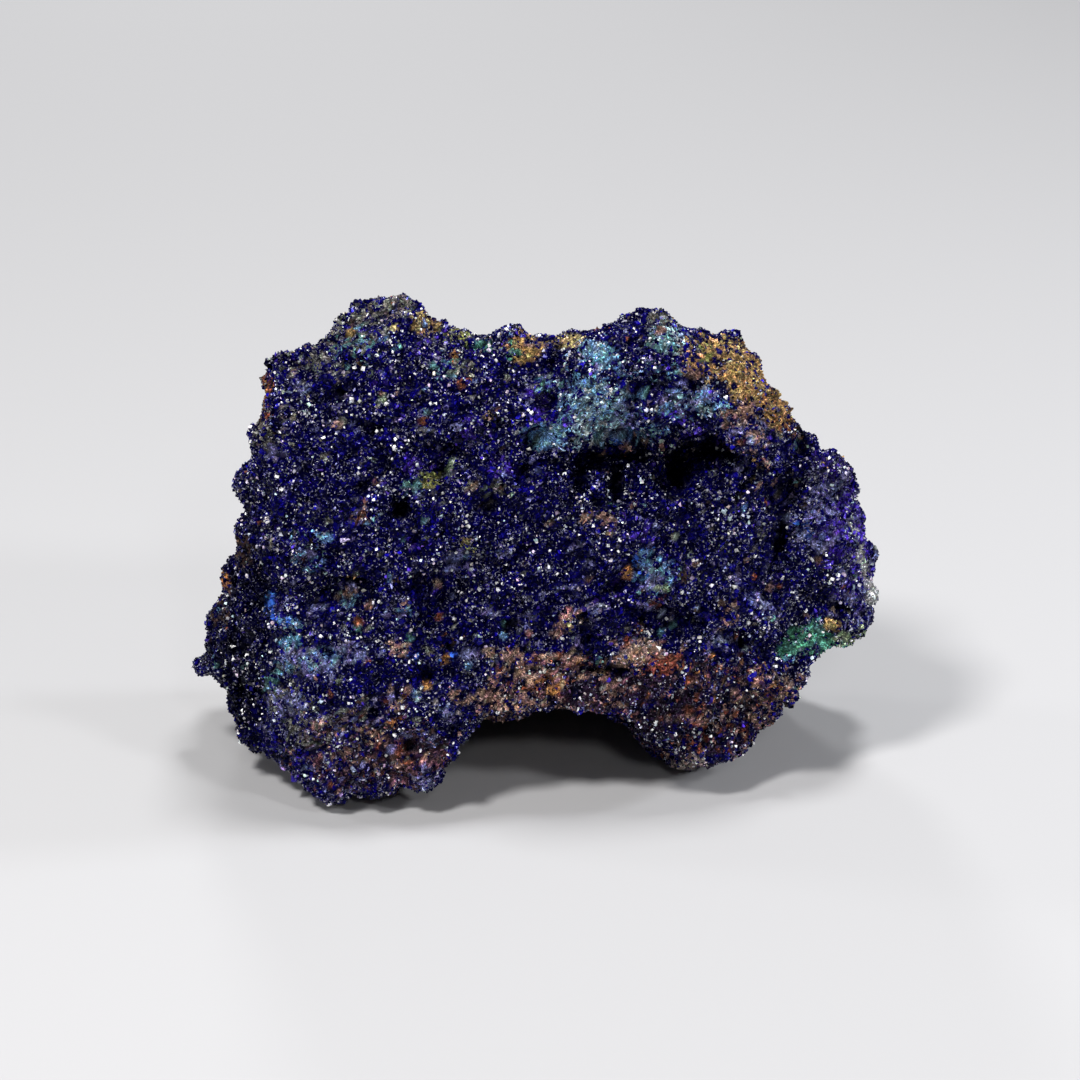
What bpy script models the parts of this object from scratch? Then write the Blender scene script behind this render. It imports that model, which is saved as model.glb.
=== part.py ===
"""A druse of dark blue azurite on brown iron-stained rock.

The specimen grew as one piece: a thick, leaning slab of rock with a ledge over a shadowed
hollow, a swelling lobe and a foot at each side, an arch between the feet, and knobs and
flat-faced crystals over it all.
"""

import math

import bmesh
import bpy
import numpy as np
from mathutils import Euler, Matrix, Vector

NAME = "azurite_specimen"
MM = 0.001
FACE_LEAN = math.radians(22.0)
HULL_VOXEL = 1.3 * MM
FORM_VOXEL = 0.8 * MM
HULL_SMOOTHING = 6
# How far each outline reaches to both sides of its plane: past the whole block.
PRISM_REACH = 90.0 * MM
# The cutter below the plane that the feet rest on.
SLAB_SIZE = (300.0 * MM, 300.0 * MM, 60.0 * MM)
ROCK_TRIANGLES = 8300
CLUSTER_COUNT = 15
CLUSTER_CRYSTALS = 3
CLUSTER_APART = 9.0 * MM
CRYSTAL_WIDTH = (1.5 * MM, 2.5 * MM)
SEED = 12

# Each point is (across, up), in millimetres on the leaning face, round the whole specimen.
FACE_OUTLINE = [
    (-44.2, 17.0), (-42.0, 20.4), (-41.8, 23.4), (-40.2, 26.0), (-39.0, 30.6), (-37.2, 34.4),
    (-37.0, 37.2), (-38.6, 39.4), (-37.6, 42.0), (-35.6, 43.6), (-35.3, 47.0), (-33.8, 50.0),
    (-34.2, 53.0), (-32.8, 55.8), (-29.0, 57.2), (-26.2, 58.4), (-24.8, 60.2), (-23.0, 62.4),
    (-21.6, 64.0), (-17.8, 64.4), (-15.2, 63.4), (-13.6, 61.2), (-10.0, 60.0), (-8.0, 59.2),
    (-6.6, 58.0), (-5.4, 59.0), (-2.6, 60.0), (0.0, 59.0), (6.0, 59.0), (8.2, 60.0),
    (11.2, 61.6), (15.6, 62.0), (17.4, 60.6), (18.8, 59.4), (24.6, 59.6), (26.0, 57.4),
    (28.0, 55.4), (28.8, 52.0), (30.6, 49.4), (32.2, 47.8), (34.0, 45.2), (36.2, 43.8),
    (37.8, 43.8), (40.2, 40.4), (40.4, 37.4), (41.8, 32.4), (42.6, 28.0), (43.0, 25.4),
    (42.2, 21.6), (40.4, 19.6), (36.8, 19.6), (35.0, 17.8), (33.6, 15.4), (32.2, 13.4),
    (30.8, 12.6), (29.4, 10.2), (26.8, 7.6), (25.4, 5.4), (22.6, 4.4), (17.8, 3.6),
    (14.2, 5.2), (11.6, 8.6), (8.6, 11.4), (3.2, 11.8), (-0.6, 11.0), (-6.0, 10.8),
    (-8.8, 8.4), (-10.4, 6.0), (-12.2, 2.8), (-14.8, 1.2), (-18.0, 2.0), (-19.6, 1.2),
    (-23.4, 0.8), (-26.0, -0.4), (-28.8, 1.8), (-31.4, 3.4), (-34.2, 6.0), (-37.0, 7.8),
    (-38.8, 10.4), (-39.4, 14.0), (-41.8, 14.8),
]
# Seen from above: (across, back).
PLAN_OUTLINE = [
    (-44.0, 20.0), (-42.0, 12.5), (-37.0, 6.5), (-32.0, 0.0), (-26.0, -4.6), (-17.0, -6.4),
    (-8.0, -4.0), (0.0, -2.0), (8.0, -2.6), (17.0, -2.4), (24.0, 0.0), (30.0, 3.6),
    (37.0, 6.0), (43.0, 11.5), (45.0, 20.0), (43.0, 28.0), (37.0, 33.5), (27.0, 36.5),
    (12.0, 38.5), (-6.0, 38.0), (-20.0, 37.0), (-32.0, 34.0), (-40.0, 28.5),
]
# Seen from the side: (back, height).
SIDE_OUTLINE = [
    (-6.4, 14.0), (-5.6, 5.0), (-3.0, -3.0), (37.0, -3.0), (39.0, 10.0), (38.6, 24.0),
    (36.0, 38.0), (31.5, 49.0), (26.0, 56.5), (19.5, 62.0), (13.0, 62.6), (7.6, 59.6),
    (2.6, 54.5), (-1.4, 47.0), (-3.4, 36.0), (-4.6, 26.0),
]
# Swellings: (across, up, back) on the leaning face, (half width, depth, height), turn.
LUMPS = [
    ((7.4, 53.0, 5.6), (6.4, 8.0, 5.6), 8.0),
    ((15.4, 54.6, 5.8), (6.6, 8.4, 5.8), -10.0),
    ((11.0, 48.6, 4.6), (7.0, 7.0, 3.2), 4.0),
    ((21.6, 49.4, 6.4), (5.8, 7.8, 4.6), 24.0),
    ((-4.6, 51.4, 9.0), (6.2, 7.4, 5.8), 0.0),
    ((-17.0, 55.0, 8.6), (6.4, 7.0, 6.0), 15.0),
    ((-28.0, 47.0, 9.0), (6.0, 7.6, 7.0), 0.0),
    ((-20.6, 44.4, 7.6), (5.6, 7.8, 5.0), 0.0),
    ((-17.0, 35.6, 7.0), (6.6, 8.6, 5.6), 20.0),
    ((-30.4, 32.0, 9.2), (6.0, 8.0, 6.4), 0.0),
    ((-24.6, 27.4, 6.6), (5.6, 7.4, 4.6), 0.0),
    ((-8.6, 30.4, 8.0), (6.2, 8.4, 5.6), -15.0),
    ((1.4, 26.4, 7.6), (6.4, 8.8, 5.4), 0.0),
    ((11.6, 27.4, 7.4), (6.0, 8.8, 5.0), 10.0),
    ((20.2, 25.6, 7.6), (5.6, 8.8, 6.0), -10.0),
    ((28.4, 27.0, 10.6), (4.6, 8.4, 6.0), 0.0),
    ((36.6, 33.4, 13.6), (5.4, 9.0, 7.4), -14.0),
    ((37.2, 25.0, 15.4), (5.4, 8.6, 5.6), 10.0),
    ((-25.4, 16.0, 4.6), (7.6, 9.6, 6.2), 20.0),
    ((-22.0, 7.4, 5.6), (8.0, 9.4, 6.0), 0.0),
    ((-14.6, 11.6, 3.8), (6.2, 8.6, 6.4), -10.0),
    ((-34.6, 12.4, 14.0), (5.0, 9.0, 6.2), 0.0),
    ((-7.6, 18.6, 5.8), (6.6, 8.8, 4.4), 0.0),
    ((4.6, 17.0, 7.0), (7.0, 9.0, 4.0), 0.0),
    ((19.0, 12.4, 12.0), (5.6, 9.6, 7.0), 10.0),
    ((26.6, 15.6, 12.0), (6.0, 9.2, 6.6), -20.0),
    ((-41.4, 17.2, 16.4), (2.8, 2.8, 1.7), 0.0),
    ((-10.0, 40.0, 33.0), (9.0, 6.4, 7.0), 0.0),
    ((14.0, 33.0, 34.0), (9.0, 6.0, 8.0), 20.0),
    ((-26.0, 26.0, 30.0), (8.0, 6.6, 7.0), 0.0),
]
# Hollows and cracks, in the same terms.
PITS = [
    ((9.0, 37.6, -14.6), (25.0, 18.4, 8.4), -3.0),
    ((9.6, 42.2, 0.6), (6.2, 6.4, 2.6), -6.0),
    ((19.4, 41.4, 1.4), (6.2, 6.4, 2.4), 8.0),
    ((10.2, 39.4, 2.0), (2.2, 5.4, 1.5), 10.0),
    ((17.2, 40.4, 3.4), (2.0, 5.6, 1.3), -12.0),
    ((1.2, 50.6, -2.6), (1.2, 6.4, 4.6), 16.0),
    ((-5.4, 56.0, 0.6), (1.1, 5.2, 3.0), -24.0),
    ((29.6, 36.0, 1.2), (1.8, 6.2, 4.6), -6.0),
    ((-11.4, 42.2, -2.0), (2.6, 4.6, 2.0), 30.0),
    ((-14.6, 49.0, -1.8), (1.3, 4.4, 3.4), -30.0),
    ((-26.0, 23.0, -8.0), (10.0, 8.4, 3.4), -8.0),
    ((-9.4, 26.0, -7.0), (4.0, 7.4, 8.0), 24.0),
    ((31.8, 20.4, 1.0), (3.4, 5.0, 2.2), 30.0),
    ((-35.0, 24.0, 1.2), (3.0, 6.2, 2.0), 20.0),
    ((15.8, 20.4, -6.4), (3.6, 8.0, 4.2), -20.0),
    ((1.0, 3.2, 6.0), (10.4, 18.0, 6.4), 0.0),
    ((-4.0, 8.8, 26.0), (13.0, 7.4, 3.4), 0.0),
    ((26.0, 9.6, 28.0), (6.6, 5.4, 3.2), 0.0),
    ((-27.0, 7.6, 23.0), (6.0, 7.4, 3.2), 0.0),
    ((33.0, 42.8, 3.6), (2.6, 6.0, 2.4), 30.0),
    ((4.0, 30.0, 43.0), (12.0, 6.6, 5.0), 30.0),
    ((-22.0, 14.0, 42.0), (6.0, 6.6, 10.0), 0.0),
]
# Faces where the block broke from its vein: (across, back, height) and the way each looks.
BREAKS = [
    ((25.0, 20.0, 56.2), (0.717, -0.036, 0.697)),
    ((-31.0, 29.0, 34.0), (-0.50, 0.82, 0.28)),
    ((27.0, 33.0, 26.0), (0.42, 0.86, 0.29)),
    ((-6.0, 29.6, 53.0), (-0.10, 0.66, 0.74)),
    ((-39.0, 13.0, 10.0), (-0.80, -0.22, -0.56)),
]
# Waves of growth over the whole surface: kind, how far apart, how strong, in millimetres.
WAVES = [
    ("CLOUDS", 11.0, 2.4),
    ("VORONOI", 6.4, 2.3),
    ("VORONOI", 3.1, 1.4),
]
AZURITE = (0.02, 0.035, 0.22, 1.0)


def on_face(across, up, back):
    """The place that shows at (across, up) on the leaning face, this far back."""
    height = (up - back * math.sin(FACE_LEAN)) / math.cos(FACE_LEAN)
    return Vector((across, back, height)) * MM


def clear_scene():
    for obj in list(bpy.data.objects):
        bpy.data.objects.remove(obj)


def new_collection(name):
    collection = bpy.data.collections.new(name)
    bpy.context.scene.collection.children.link(collection)
    return collection


def add_object(name, data, collection):
    obj = bpy.data.objects.new(name, data)
    collection.objects.link(obj)
    return obj


def baked(obj):
    """The object's mesh with its modifiers and its placing made part of it."""
    graph = bpy.context.evaluated_depsgraph_get()
    mesh = bpy.data.meshes.new_from_object(obj.evaluated_get(graph))
    mesh.transform(obj.matrix_world)
    return mesh


def settle(obj):
    """Keep what the modifiers make, and drop the modifiers."""
    mesh = baked(obj)
    obj.modifiers.clear()
    obj.data = mesh
    obj.matrix_world = Matrix()


def modify(obj, kind, **settings):
    modifier = obj.modifiers.new(kind.title(), kind)
    for key, value in settings.items():
        setattr(modifier, key, value)
    return modifier


def prism(name, outline, length, turn, tools):
    """A flat outline carried both ways along its own normal, as a mesh."""
    curve = bpy.data.curves.new(name, "CURVE")
    curve.dimensions = "2D"
    curve.fill_mode = "BOTH"
    curve.extrude = length
    spline = curve.splines.new("POLY")
    spline.points.add(len(outline) - 1)
    for point, (a, b) in zip(spline.points, outline):
        point.co = (a * MM, b * MM, 0.0, 1.0)
    spline.use_cyclic_u = True
    obj = add_object(name + "_curve", curve, tools)
    obj.matrix_world = turn
    bpy.context.view_layer.update()
    solid = add_object(name, baked(obj), tools)
    bpy.data.objects.remove(obj)
    return solid


def break_off(body):
    """Split the block along each broken face, and close it there."""
    bm = bmesh.new()
    bm.from_mesh(body.data)
    for place, out in BREAKS:
        everything = bm.verts[:] + bm.edges[:] + bm.faces[:]
        cut = bmesh.ops.bisect_plane(
            bm, geom=everything, plane_co=Vector(place) * MM, plane_no=out, clear_outer=True,
        )
        rim = [item for item in cut["geom_cut"] if isinstance(item, bmesh.types.BMEdge)]
        bmesh.ops.edgenet_fill(bm, edges=rim)
    bmesh.ops.recalc_face_normals(bm, faces=bm.faces)
    bm.to_mesh(body.data)
    bm.free()


def hull(tools):
    """The slab that the face, plan and side outlines share, with its broken faces."""
    upright = Matrix.Rotation(math.pi / 2, 4, "X")
    leaning = Matrix.Rotation(math.pi / 2 - FACE_LEAN, 4, "X")
    sideways = Matrix.Rotation(math.pi / 2, 4, "Z") @ upright
    body = prism("face", FACE_OUTLINE, PRISM_REACH, leaning, tools)
    for name, outline, turn in (("plan", PLAN_OUTLINE, Matrix()), ("side", SIDE_OUTLINE, sideways)):
        other = prism(name, outline, PRISM_REACH, turn, tools)
        modify(body, "BOOLEAN", operation="INTERSECT", solver="EXACT", object=other)
        settle(body)
    break_off(body)
    modify(body, "REMESH", mode="VOXEL", voxel_size=HULL_VOXEL)
    modify(body, "SMOOTH", factor=0.5, iterations=HULL_SMOOTHING)
    settle(body)
    return body


def blob(bm, place, halves, turn, roughness=2):
    """A rounded body: half widths across, back and up, turned in the face."""
    size = Matrix.Diagonal((*(Vector(halves) * MM), 1.0))
    spin = Matrix.Rotation(math.radians(turn), 4, "Y")
    matrix = Matrix.Translation(on_face(*place)) @ spin @ size
    bmesh.ops.create_icosphere(bm, subdivisions=roughness, radius=1.0, matrix=matrix)


def blobs(name, rows, tools):
    bm = bmesh.new()
    for place, halves, turn in rows:
        blob(bm, place, halves, turn)
    mesh = bpy.data.meshes.new(name)
    bm.to_mesh(mesh)
    bm.free()
    return add_object(name, mesh, tools)


def grow_waves(body):
    for index, (kind, apart, strength) in enumerate(WAVES):
        texture = bpy.data.textures.new(f"wave_{index}", kind)
        texture.noise_scale = apart * MM
        middle = 0.56
        if kind == "VORONOI":
            texture.distance_metric = "DISTANCE"
            texture.noise_intensity = 1.0
            middle = 0.34
        strength = strength if kind == "CLOUDS" else -strength
        modify(
            body, "DISPLACE", texture=texture, strength=strength * MM, mid_level=middle,
            texture_coords="LOCAL",
        )


def form(tools):
    """The rock with its swellings, hollows and knobs."""
    body = hull(tools)
    lumps = blobs("lumps", LUMPS, tools)
    pits = blobs("pits", PITS, tools)
    modify(body, "BOOLEAN", operation="UNION", solver="EXACT", object=lumps, use_self=True)
    modify(body, "BOOLEAN", operation="DIFFERENCE", solver="EXACT", object=pits, use_self=True)
    modify(body, "REMESH", mode="VOXEL", voxel_size=FORM_VOXEL)
    modify(body, "SMOOTH", factor=0.5, iterations=3)
    settle(body)
    grow_waves(body)
    modify(body, "REMESH", mode="VOXEL", voxel_size=FORM_VOXEL)
    settle(body)
    return body


def keep_largest(body):
    """Drop the crumbs that the hollows cut free."""
    bm = bmesh.new()
    bm.from_mesh(body.data)
    left = set(bm.verts)
    pieces = []
    while left:
        stack = [left.pop()]
        piece = set(stack)
        while stack:
            for edge in stack.pop().link_edges:
                for vertex in edge.verts:
                    if vertex not in piece:
                        piece.add(vertex)
                        stack.append(vertex)
        left -= piece
        pieces.append(piece)
    largest = max(pieces, key=len)
    bmesh.ops.delete(bm, geom=[v for v in bm.verts if v not in largest], context="VERTS")
    bm.to_mesh(body.data)
    bm.free()


def slab_below(tools):
    """What lies under the plane that the feet rest on."""
    bm = bmesh.new()
    size = Matrix.Diagonal((*SLAB_SIZE, 1.0))
    middle = Matrix.Translation((0.0, 0.0, -SLAB_SIZE[2] / 2))
    bmesh.ops.create_cube(bm, size=1.0, matrix=middle @ size)
    mesh = bpy.data.meshes.new("floor_cut")
    bm.to_mesh(mesh)
    bm.free()
    return add_object("floor_cut", mesh, tools)


def crystal(bm, place, out, width, spin):
    """A short six-sided prism with a chisel end, standing along `out`."""
    ring = [(-0.5, -0.26), (0.0, -0.46), (0.5, -0.26), (0.5, 0.26), (0.0, 0.46), (-0.5, 0.26)]
    turn = out.to_track_quat("Z", "Y").to_matrix().to_4x4() @ Matrix.Rotation(spin, 4, "Z")
    matrix = Matrix.Translation(place) @ turn @ Matrix.Scale(width, 4)
    low = [bm.verts.new(matrix @ Vector((a, b, -0.7))) for a, b in ring]
    high = [bm.verts.new(matrix @ Vector((a, b, 0.42))) for a, b in ring]
    edge = [bm.verts.new(matrix @ Vector((a, 0.0, 0.74))) for a in (-0.27, 0.27)]
    bm.faces.new(low[::-1])
    for k in range(6):
        bm.faces.new((low[k], low[(k + 1) % 6], high[(k + 1) % 6], high[k]))
    bm.faces.new((high[0], high[1], edge[0]))
    bm.faces.new((high[1], edge[1], edge[0]))
    bm.faces.new((high[1], high[2], edge[1]))
    bm.faces.new((high[2], high[3], edge[1]))
    bm.faces.new((high[3], high[4], edge[1]))
    bm.faces.new((high[4], edge[0], edge[1]))
    bm.faces.new((high[4], high[5], edge[0]))
    bm.faces.new((high[5], high[0], edge[0]))


def cluster(bm, face, rng):
    """A few crystals that spread from one root."""
    across = face.normal.orthogonal().normalized()
    first = rng.uniform(0.0, 2.0 * math.pi)
    for index in range(CLUSTER_CRYSTALS):
        angle = first + 2.0 * math.pi * index / CLUSTER_CRYSTALS + rng.normal(0.0, 0.2)
        side = Matrix.Rotation(angle, 3, face.normal) @ across
        width = rng.uniform(*CRYSTAL_WIDTH)
        place = face.center + side * 0.42 * width + face.normal * 0.16 * width
        out = (face.normal + side * rng.uniform(0.35, 0.8)).normalized()
        crystal(bm, place, out, width, rng.uniform(0.0, math.pi))


def grow_crystals(body, tools):
    """Clusters fused to the front, the top and the sides, apart from each other."""
    rng = np.random.default_rng(SEED)
    bm = bmesh.new()
    faces = body.data.polygons
    placed = []
    for _ in range(200 * CLUSTER_COUNT):
        face = faces[int(rng.integers(len(faces)))]
        in_front = face.normal.y < -0.3 and face.normal.z > -0.45
        if len(placed) >= CLUSTER_COUNT or not in_front or face.center.z < 5.0 * MM:
            continue
        if any((face.center - other).length < CLUSTER_APART for other in placed):
            continue
        placed.append(face.center.copy())
        cluster(bm, face, rng)
    bmesh.ops.recalc_face_normals(bm, faces=bm.faces)
    mesh = bpy.data.meshes.new("crystals")
    bm.to_mesh(mesh)
    bm.free()
    crystals = add_object("crystals", mesh, tools)
    modify(body, "BOOLEAN", operation="UNION", solver="EXACT", object=crystals, use_self=True)
    settle(body)


def thin_out(body, count):
    triangles = sum(len(face.vertices) - 2 for face in body.data.polygons)
    modify(body, "TRIANGULATE")
    modify(body, "DECIMATE", ratio=count / triangles)
    settle(body)


def centre_on_base(body):
    """Put the middle of the base at the origin."""
    points = np.array([vertex.co for vertex in body.data.vertices])
    low = points.min(axis=0)
    high = points.max(axis=0)
    shift = Vector((-(low[0] + high[0]) / 2, -(low[1] + high[1]) / 2, -low[2]))
    body.data.transform(Matrix.Translation(shift))


def azurite_material():
    material = bpy.data.materials.new("azurite")
    material.use_nodes = True
    shader = material.node_tree.nodes["Principled BSDF"]
    shader.inputs["Base Color"].default_value = AZURITE
    shader.inputs["Roughness"].default_value = 0.3
    shader.inputs["IOR"].default_value = 1.75
    return material


def hide_tools(tools):
    for obj in tools.objects:
        obj.hide_render = True
        obj.display_type = "WIRE"


def build():
    clear_scene()
    kept = new_collection(NAME)
    tools = new_collection("cutters_and_guides")
    body = form(tools)
    keep_largest(body)
    thin_out(body, ROCK_TRIANGLES)
    modify(body, "BOOLEAN", operation="DIFFERENCE", solver="EXACT", object=slab_below(tools))
    settle(body)
    grow_crystals(body, tools)
    keep_largest(body)
    specimen = add_object(NAME, body.data, kept)
    bpy.data.objects.remove(body)
    specimen.data.name = NAME
    centre_on_base(specimen)
    specimen.data.materials.clear()
    specimen.data.materials.append(azurite_material())
    hide_tools(tools)


build()
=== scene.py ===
"""The looks of the azurite specimen: its rock, its crystals and grains, a pale floor and soft light."""

import math

import bmesh
import bpy
import numpy as np
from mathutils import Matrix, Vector
from mathutils.bvhtree import BVHTree


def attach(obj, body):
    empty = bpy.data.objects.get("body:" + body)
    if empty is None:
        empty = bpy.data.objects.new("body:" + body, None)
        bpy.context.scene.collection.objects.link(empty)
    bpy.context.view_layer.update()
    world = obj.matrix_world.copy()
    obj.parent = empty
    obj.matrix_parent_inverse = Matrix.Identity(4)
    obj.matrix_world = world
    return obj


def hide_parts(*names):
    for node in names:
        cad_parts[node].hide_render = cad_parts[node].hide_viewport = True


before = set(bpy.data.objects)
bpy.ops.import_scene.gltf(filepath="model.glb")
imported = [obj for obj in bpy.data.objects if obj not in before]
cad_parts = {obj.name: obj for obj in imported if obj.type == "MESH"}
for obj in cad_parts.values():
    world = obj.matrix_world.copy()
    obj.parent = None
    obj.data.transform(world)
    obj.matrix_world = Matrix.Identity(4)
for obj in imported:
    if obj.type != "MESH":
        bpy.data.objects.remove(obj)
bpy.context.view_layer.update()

MM = 0.001
NODE = "azurite_specimen"

# The camera looks down on the broad face from in front. Its frame is 1080 by 1080.
ELEVATION = math.radians(22.0)
TO_CAMERA = np.array((0.0, -math.cos(ELEVATION), math.sin(ELEVATION)))
FRAME_UP = np.array((0.0, math.sin(ELEVATION), math.cos(ELEVATION)))
DISTANCE = 0.55
TARGET = Vector((0.0, 0.0, 0.029))
FRAME_SIDE = 1080.0
SENSOR = 36.0
LENS = 147.6
SHIFT_X = 0.0035
SHIFT_Y = -0.0028

ROCK_VOXEL = 0.52 * MM
ROCK_SMOOTHINGS = 7
# Knobs of growth on the rock: how far apart and how high, in millimetres, and a seed.
KNOBS = [(5.4, 1.5, 11), (2.7, 0.95, 23), (1.4, 0.45, 37)]
KNOB_RADIUS = 0.88
# How far the bare rock lies below the plain form, because the crystals stand on it.
SINK = 0.68 * MM
# Below this height the knobs fade out, so that the rock stands flat.
FLAT_BELOW = 2.0 * MM
# The fragments of one mineral: how far apart they are, and a seed.
FRAGMENT = (0.85 * MM, 95)
# The specks among the crystals: how far apart they are, and a seed.
SPECK = (1.3 * MM, 91)
SPECK_RADIUS = 0.42
SPECKS = ["tan", "brown", "powder", "crust", "teal", "tan", "lavender", "rust", "crust"]
SPECK_SHARE = 0.010
# How far a body strays from its point of the rock, and how deep it is rooted.
STRAY = 0.2 * MM
ROOT = 0.05 * MM
# No crystal or grain reaches lower than this.
LOWEST = 0.05 * MM

CRYSTALS = 80000
GRAINS = 27000
GLINTS = 5900
FLECKS = 24000
BLOCK_SHARE = 0.14
BIG_CRYSTAL_SHARE = 0.03
BLUE_AMONG_EARTH = 0.13
# Each kind of body: its usual width in millimetres, how much the widths differ, its height for
# each width, how far it leans, how ragged it is, and how far it stands off the rock in millimetres.
BODIES = {
    "crystal": (0.42, 0.25, 0.95, 0.34, 0.06, 0.0),
    "grain": (0.42, 0.30, 0.85, 0.28, 0.11, 0.0),
    "fleck": (0.27, 0.35, 0.60, 0.50, 0.08, 0.14),
    "glint": (0.22, 0.38, 0.90, 0.30, 0.06, 0.08),
}
WIDEST_GLINT = 0.58
PIECE_TRIANGLES = 190000
OPEN_REACH = 5.0 * MM
OPEN_RAYS = 14
SEED = 20
DARKEST = 0.0003
PALEST = 0.9
# The colour of the painted highlights on the edges of tiny crystals.
PAINTED_HIGHLIGHT = (0.600, 0.600, 0.800, 1.0)
FLOOR_HALF = 3.0
LIGHTS_AIM = Vector((0.0, 0.0, 0.03))

# Each mineral: its colour, how much one grain differs from the next, and whether it is glassy.
MINERALS = {
    "azurite": ((0.0016, 0.0009, 0.0640), 0.72, True),
    # Next, azurite darkened as painted shade, for the sides and lower parts that lie in shadow.
    "painted_shade_azurite": ((0.0012, 0.0010, 0.014), 0.60, True),
    "violet": ((0.056, 0.026, 0.380), 0.50, True),
    "deep_violet": ((0.022, 0.011, 0.150), 0.50, True),
    "bright_blue": ((0.050, 0.150, 0.760), 0.40, True),
    "powder": ((0.225, 0.445, 0.900), 0.55, False),
    "pale_powder": ((0.410, 0.650, 0.900), 0.55, False),
    "cyan": ((0.200, 0.520, 0.860), 0.40, False),
    "plum": ((0.026, 0.013, 0.034), 0.60, True),
    "lavender": ((0.265, 0.265, 0.590), 0.50, False),
    "crust": ((0.220, 0.215, 0.195), 0.60, False),
    "teal": ((0.130, 0.290, 0.310), 0.45, False),
    "malachite": ((0.120, 0.380, 0.270), 0.50, False),
    "pale_green": ((0.280, 0.360, 0.240), 0.40, False),
    "yellow_green": ((0.280, 0.290, 0.100), 0.40, False),
    "ochre": ((0.450, 0.280, 0.115), 0.45, False),
    "orange": ((0.500, 0.220, 0.080), 0.40, False),
    "yellow": ((0.560, 0.450, 0.210), 0.35, False),
    "rust": ((0.280, 0.090, 0.048), 0.50, False),
    "tan": ((0.430, 0.258, 0.218), 0.50, False),
    "peach": ((0.680, 0.385, 0.315), 0.40, False),
    "brown": ((0.095, 0.055, 0.048), 0.50, False),
    "red_brown": ((0.330, 0.095, 0.065), 0.35, False),
    "pink_brown": ((0.140, 0.066, 0.082), 0.75, False),
    "grey_pink": ((0.460, 0.370, 0.350), 0.20, False),
    # Ice is a painted highlight: near-white, where the right rim catches the light from the side.
    "ice": ((0.860, 0.880, 0.900), 0.10, False),
    # Glint is a painted glint: near-white crystals that stand for sparkle. Fleck is paler than the
    # azurite, for painted highlights on tiny tips.
    "glint": ((0.780, 0.800, 0.880), 0.45, True),
    "fleck": ((0.355, 0.350, 0.490), 0.75, True),
}
NAMES = list(MINERALS)

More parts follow.
